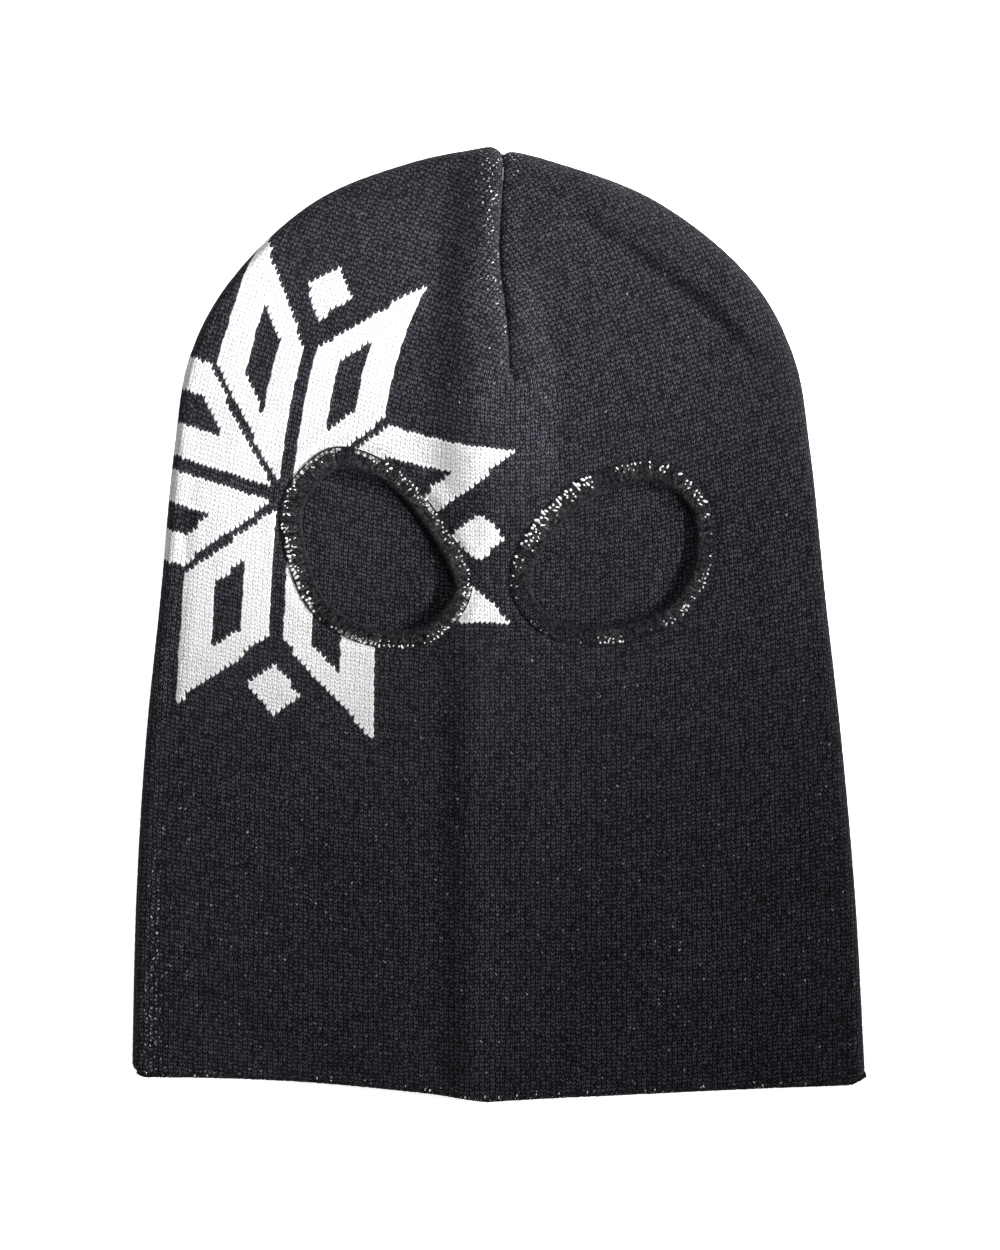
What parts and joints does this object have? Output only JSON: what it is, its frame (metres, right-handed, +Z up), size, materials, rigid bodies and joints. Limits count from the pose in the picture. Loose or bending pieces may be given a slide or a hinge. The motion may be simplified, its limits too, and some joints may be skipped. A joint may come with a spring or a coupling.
{
  "type": "balaclava",
  "caption": "Knitted dome-topped head cover laid flat, with two bound eye openings, a crown dart and an open neck.",
  "frame": {"origin": "middle of the underside, on the surface the balaclava lies on", "axes": "+Y from the neck to the crown, +X to the viewer's right, +Z up out of the face"},
  "size_m": [0.26, 0.3392, 0.0126],
  "materials": {
    "jacquard_knit": "matt double knit, black with a white jacquard motif",
    "seam_thread": "matt overlock thread",
    "edging_yarn": "matt black acrylic yarn with white backing yarn showing"
  },
  "bodies": {
    "root": {"front_panel": "jacquard_knit", "back_panel": "jacquard_knit", "left_side_seam": "seam_thread", "right_side_seam": "seam_thread", "left_crown_seam": "seam_thread", "right_crown_seam": "seam_thread", "front_dart_seam": "seam_thread", "back_dart_seam": "seam_thread", "crown_tack": "seam_thread", "left_eye_edging": "edging_yarn", "right_eye_edging": "edging_yarn", "front_neck_edging": "edging_yarn", "back_neck_edging": "edging_yarn"}
  },
  "joints": []
}
